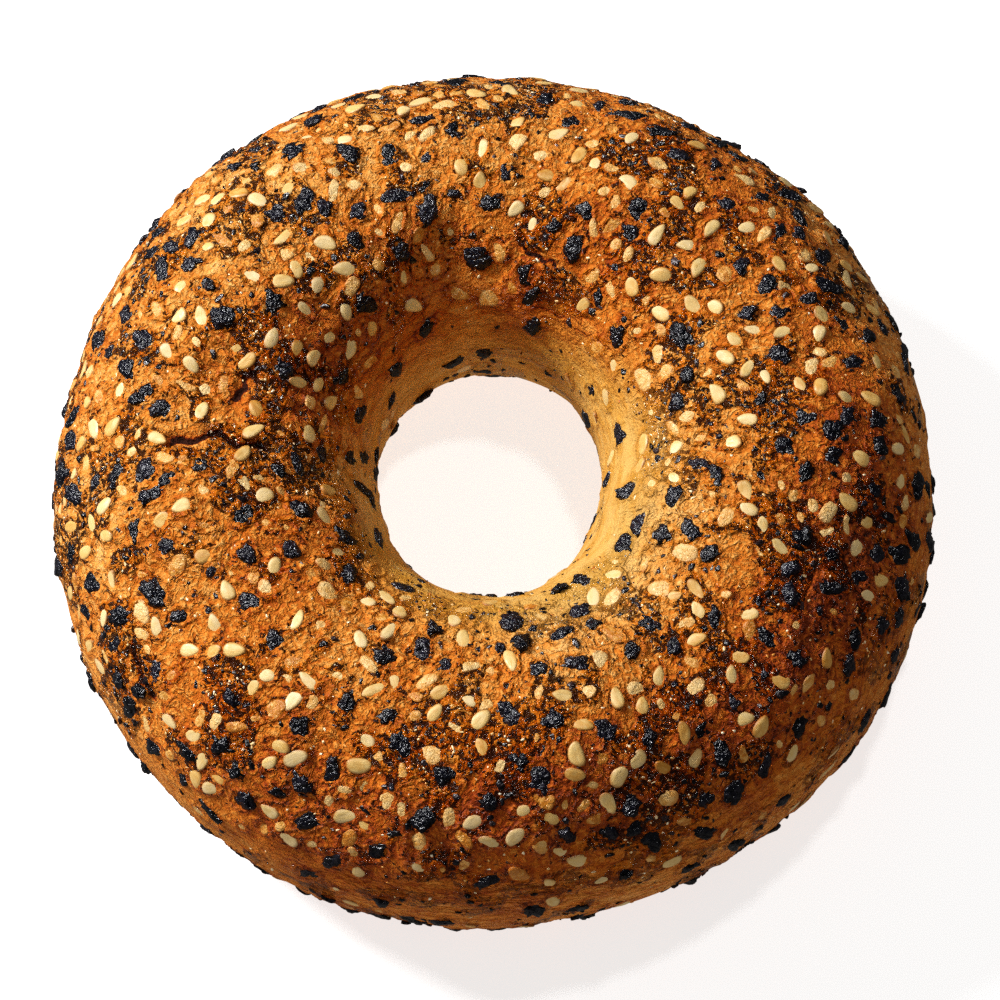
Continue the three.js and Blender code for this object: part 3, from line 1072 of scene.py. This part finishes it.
def fine_places(rng, kind, places, seeds, covered):
    """Places for the fine bits: a third gather at the black seeds, the rest where the crust has charred."""
    count, gap, power, least, char = FINE_KINDS[kind]
    gathered = scatter(rng, count // 3, places, gap, GATHER_POWER, clusters=seeds, covered=covered)
    rest = count - len(gathered)
    charred = scatter(rng, rest, places, gap, power, least=least, char=char, covered=covered)
    return np.concatenate([gathered, charred])


def make_topping():
    """Makes all the grains, and returns the angles, spins and sizes of the large ones."""
    rng = np.random.default_rng(SCATTER_SEED)
    model = model_grains()
    places = taken_places(model)
    black = black_grains(rng, places, model)
    make_black(black_seed_material(), *black, rng)
    sesame = with_model_grains(rng, "sesame", places, model)
    make_sesame(sesame_material(), *sesame, rng)
    flake = with_model_grains(rng, "flake", places, model)
    make_flakes(flake_material(), *flake, rng)

    fine = Places(1.0)
    covered = Covered([sesame, flake])
    seeds = np.stack(black[:2], -1)
    found = fine_places(rng, "poppy", fine, seeds, covered)
    size = rng.beta(*MOSTLY_LOW, (len(found), 1)) * POPPY_LARGER
    size = (size + rng.uniform(*POPPY_SIZES, (len(found), 3))) * POPPY_STRETCH
    poppy = bits_material("poppy", (0.06, 0.035, 0.035), (0.007, 0.006, 0.009))
    make_small("poppy_seeds", poppy, "poppy", found, size, rng, 2, lumpy=0.8, sunk=0.22, smooth=False)

    found = fine_places(rng, "grit", fine, seeds, covered)
    size = sizes_of(rng, len(found), GRIT_SIZES)
    grit = bits_material("grit", (0.14, 0.04, 0.015), (0.008, 0.005, 0.005))
    make_small("grit", grit, "poppy", found, size, rng, 1, lumpy=0.5, sunk=0.15, smooth=False)

    # pale crumbly bits, the palest of them painted glints, gathered where the crust has charred
    found = fine_places(rng, "crumb_and_glint", fine, seeds, covered)
    size = sizes_of(rng, len(found), CRUMB_AND_GLINT_SIZES)
    make_small("crumbs_and_glints", crumb_and_glint_material(), "crust", found, size, rng, 1, lumpy=0.4, sunk=0.2)
    return [black, sesame, flake]


# -------- the stage
CAMERA_ELEVATION = 70
CAMERA_DISTANCE = 470
CAMERA_TARGET = (0.96, -1.97, 18.0)
CAMERA_LENS = 133.85
CAMERA_SENSOR = 36
CAMERA_CLIPS = (0.01, 20)  # metres
LAMP_DISTANCE = 900
LAMPS = [  # name, azimuth from +X towards +Y, elevation, size, watts, whether only its shine shows
    ("key", 152, 36, 210, 9.7, False),
    ("glint", 60, 72, 70, 1.3, False),
    ("softbox", 130, 62, 340, 5.0, True),
]
SKY_STRENGTH = 0.16
BOUNCE_STRENGTH = 0.62  # from below, as off a pale table
BOUNCE_BETWEEN = (0.1, -0.35)  # heights of a direction from sky to bounce
FRONT_STRENGTH = 0.40  # more of it from the lit side in front
FRONT_TOWARDS = (-0.62, -0.55, -0.56)
FRONT_BETWEEN = (0.1, 1.0)  # how nearly a direction points there
ROOM_COLOUR = (1.0, 0.96, 0.90, 1)
SHINE_SHARE = 0.18  # of the room that shows in glossy surfaces, which mostly mirror the lamps
FLOOR_SIZE = 6000
FLOOR_GLOW = 0.60
FLOOR_SHADE = 0.62


def make_camera():
    data = bpy.data.cameras.new("camera")
    data.lens = CAMERA_LENS
    data.sensor_width = CAMERA_SENSOR
    data.clip_start, data.clip_end = CAMERA_CLIPS
    camera = bpy.data.objects.new("camera", data)
    tilt = math.radians(CAMERA_ELEVATION)
    back = Vector((0, -math.cos(tilt), math.sin(tilt)))
    camera.location = (Vector(CAMERA_TARGET) + back * CAMERA_DISTANCE) * MM
    camera.rotation_euler = (-back).to_track_quat("-Z", "Y").to_euler()
    bpy.context.scene.collection.objects.link(camera)
    bpy.context.scene.camera = camera


def make_light(name, azimuth, elevation, size, watts, shine_only):
    data = bpy.data.lights.new(name, "AREA")
    data.shape = "DISK"
    data.size = size * MM
    data.energy = watts
    lamp = bpy.data.objects.new(name, data)
    lamp.visible_diffuse = not shine_only
    turn = math.radians(azimuth)
    rise = math.radians(elevation)
    towards = Vector((math.cos(turn) * math.cos(rise), math.sin(turn) * math.cos(rise), math.sin(rise)))
    lamp.location = towards * LAMP_DISTANCE * MM
    lamp.rotation_euler = (-towards).to_track_quat("-Z", "Y").to_euler()
    bpy.context.scene.collection.objects.link(lamp)


def make_floor():
    half = FLOOR_SIZE / 2
    mesh = bpy.data.meshes.new("floor")
    corners = np.array([(-half, -half, 0), (half, -half, 0), (half, half, 0), (-half, half, 0)])
    mesh.from_pydata((corners * MM).tolist(), [], [(0, 1, 2, 3)])
    floor = bpy.data.objects.new("floor", mesh)
    s = Shader("floor", Specular_IOR_Level=0.1, Emission_Strength=FLOOR_GLOW)
    s.surface.inputs["Emission Color"].default_value = (1.0, 1.0, 1.0, 1)
    pale = np.array([FLOOR_SHADE, FLOOR_SHADE, 0.995 * FLOOR_SHADE])
    shade = s.colours(s.noise(400), [(0.0, pale), (1.0, 1.02 * pale)])
    mesh.materials.append(s.finish(shade, s.ramp(s.noise(30), 0, 1, 0.85, 0.95)))
    floor.visible_diffuse = False
    floor.visible_glossy = False
    bpy.context.scene.collection.objects.link(floor)


def make_world():
    """Soft light from all round: dim from above, brighter from below and in front, as off a pale table."""
    world = bpy.data.worlds.new("studio")
    world.use_nodes = True
    nodes = Nodes(world.node_tree)
    direction = nodes.add("ShaderNodeTexCoord").outputs["Generated"]
    parts = nodes.add("ShaderNodeSeparateXYZ", {0: direction})
    below = nodes.ramp(parts.outputs["Z"], *BOUNCE_BETWEEN, SKY_STRENGTH, BOUNCE_STRENGTH)
    front = nodes.add("ShaderNodeVectorMath", {0: direction, 1: FRONT_TOWARDS}, operation="DOT_PRODUCT")
    front = nodes.ramp(front.outputs["Value"], *FRONT_BETWEEN, 0.0, FRONT_STRENGTH)
    glossy = nodes.add("ShaderNodeLightPath").outputs["Is Glossy Ray"]
    strength = nodes.times(nodes.plus(below, front), nodes.ramp(glossy, 0.0, 1.0, 1.0, SHINE_SHARE))
    background = world.node_tree.nodes["Background"]
    nodes.put(ROOM_COLOUR, background.inputs["Color"])
    nodes.put(strength, background.inputs["Strength"])
    bpy.context.scene.world = world


bpy.context.scene.view_settings.view_transform = "Standard"
bpy.context.scene.view_settings.look = "Medium High Contrast"
bpy.context.scene.cycles.use_denoising = False  # it would smooth away the glints on the seeds
make_camera()
make_world()
make_floor()
for lamp_values in LAMPS:
    make_light(*lamp_values)
large_grains = make_topping()
make_crust(crust_material(), collar_rows(large_grains))
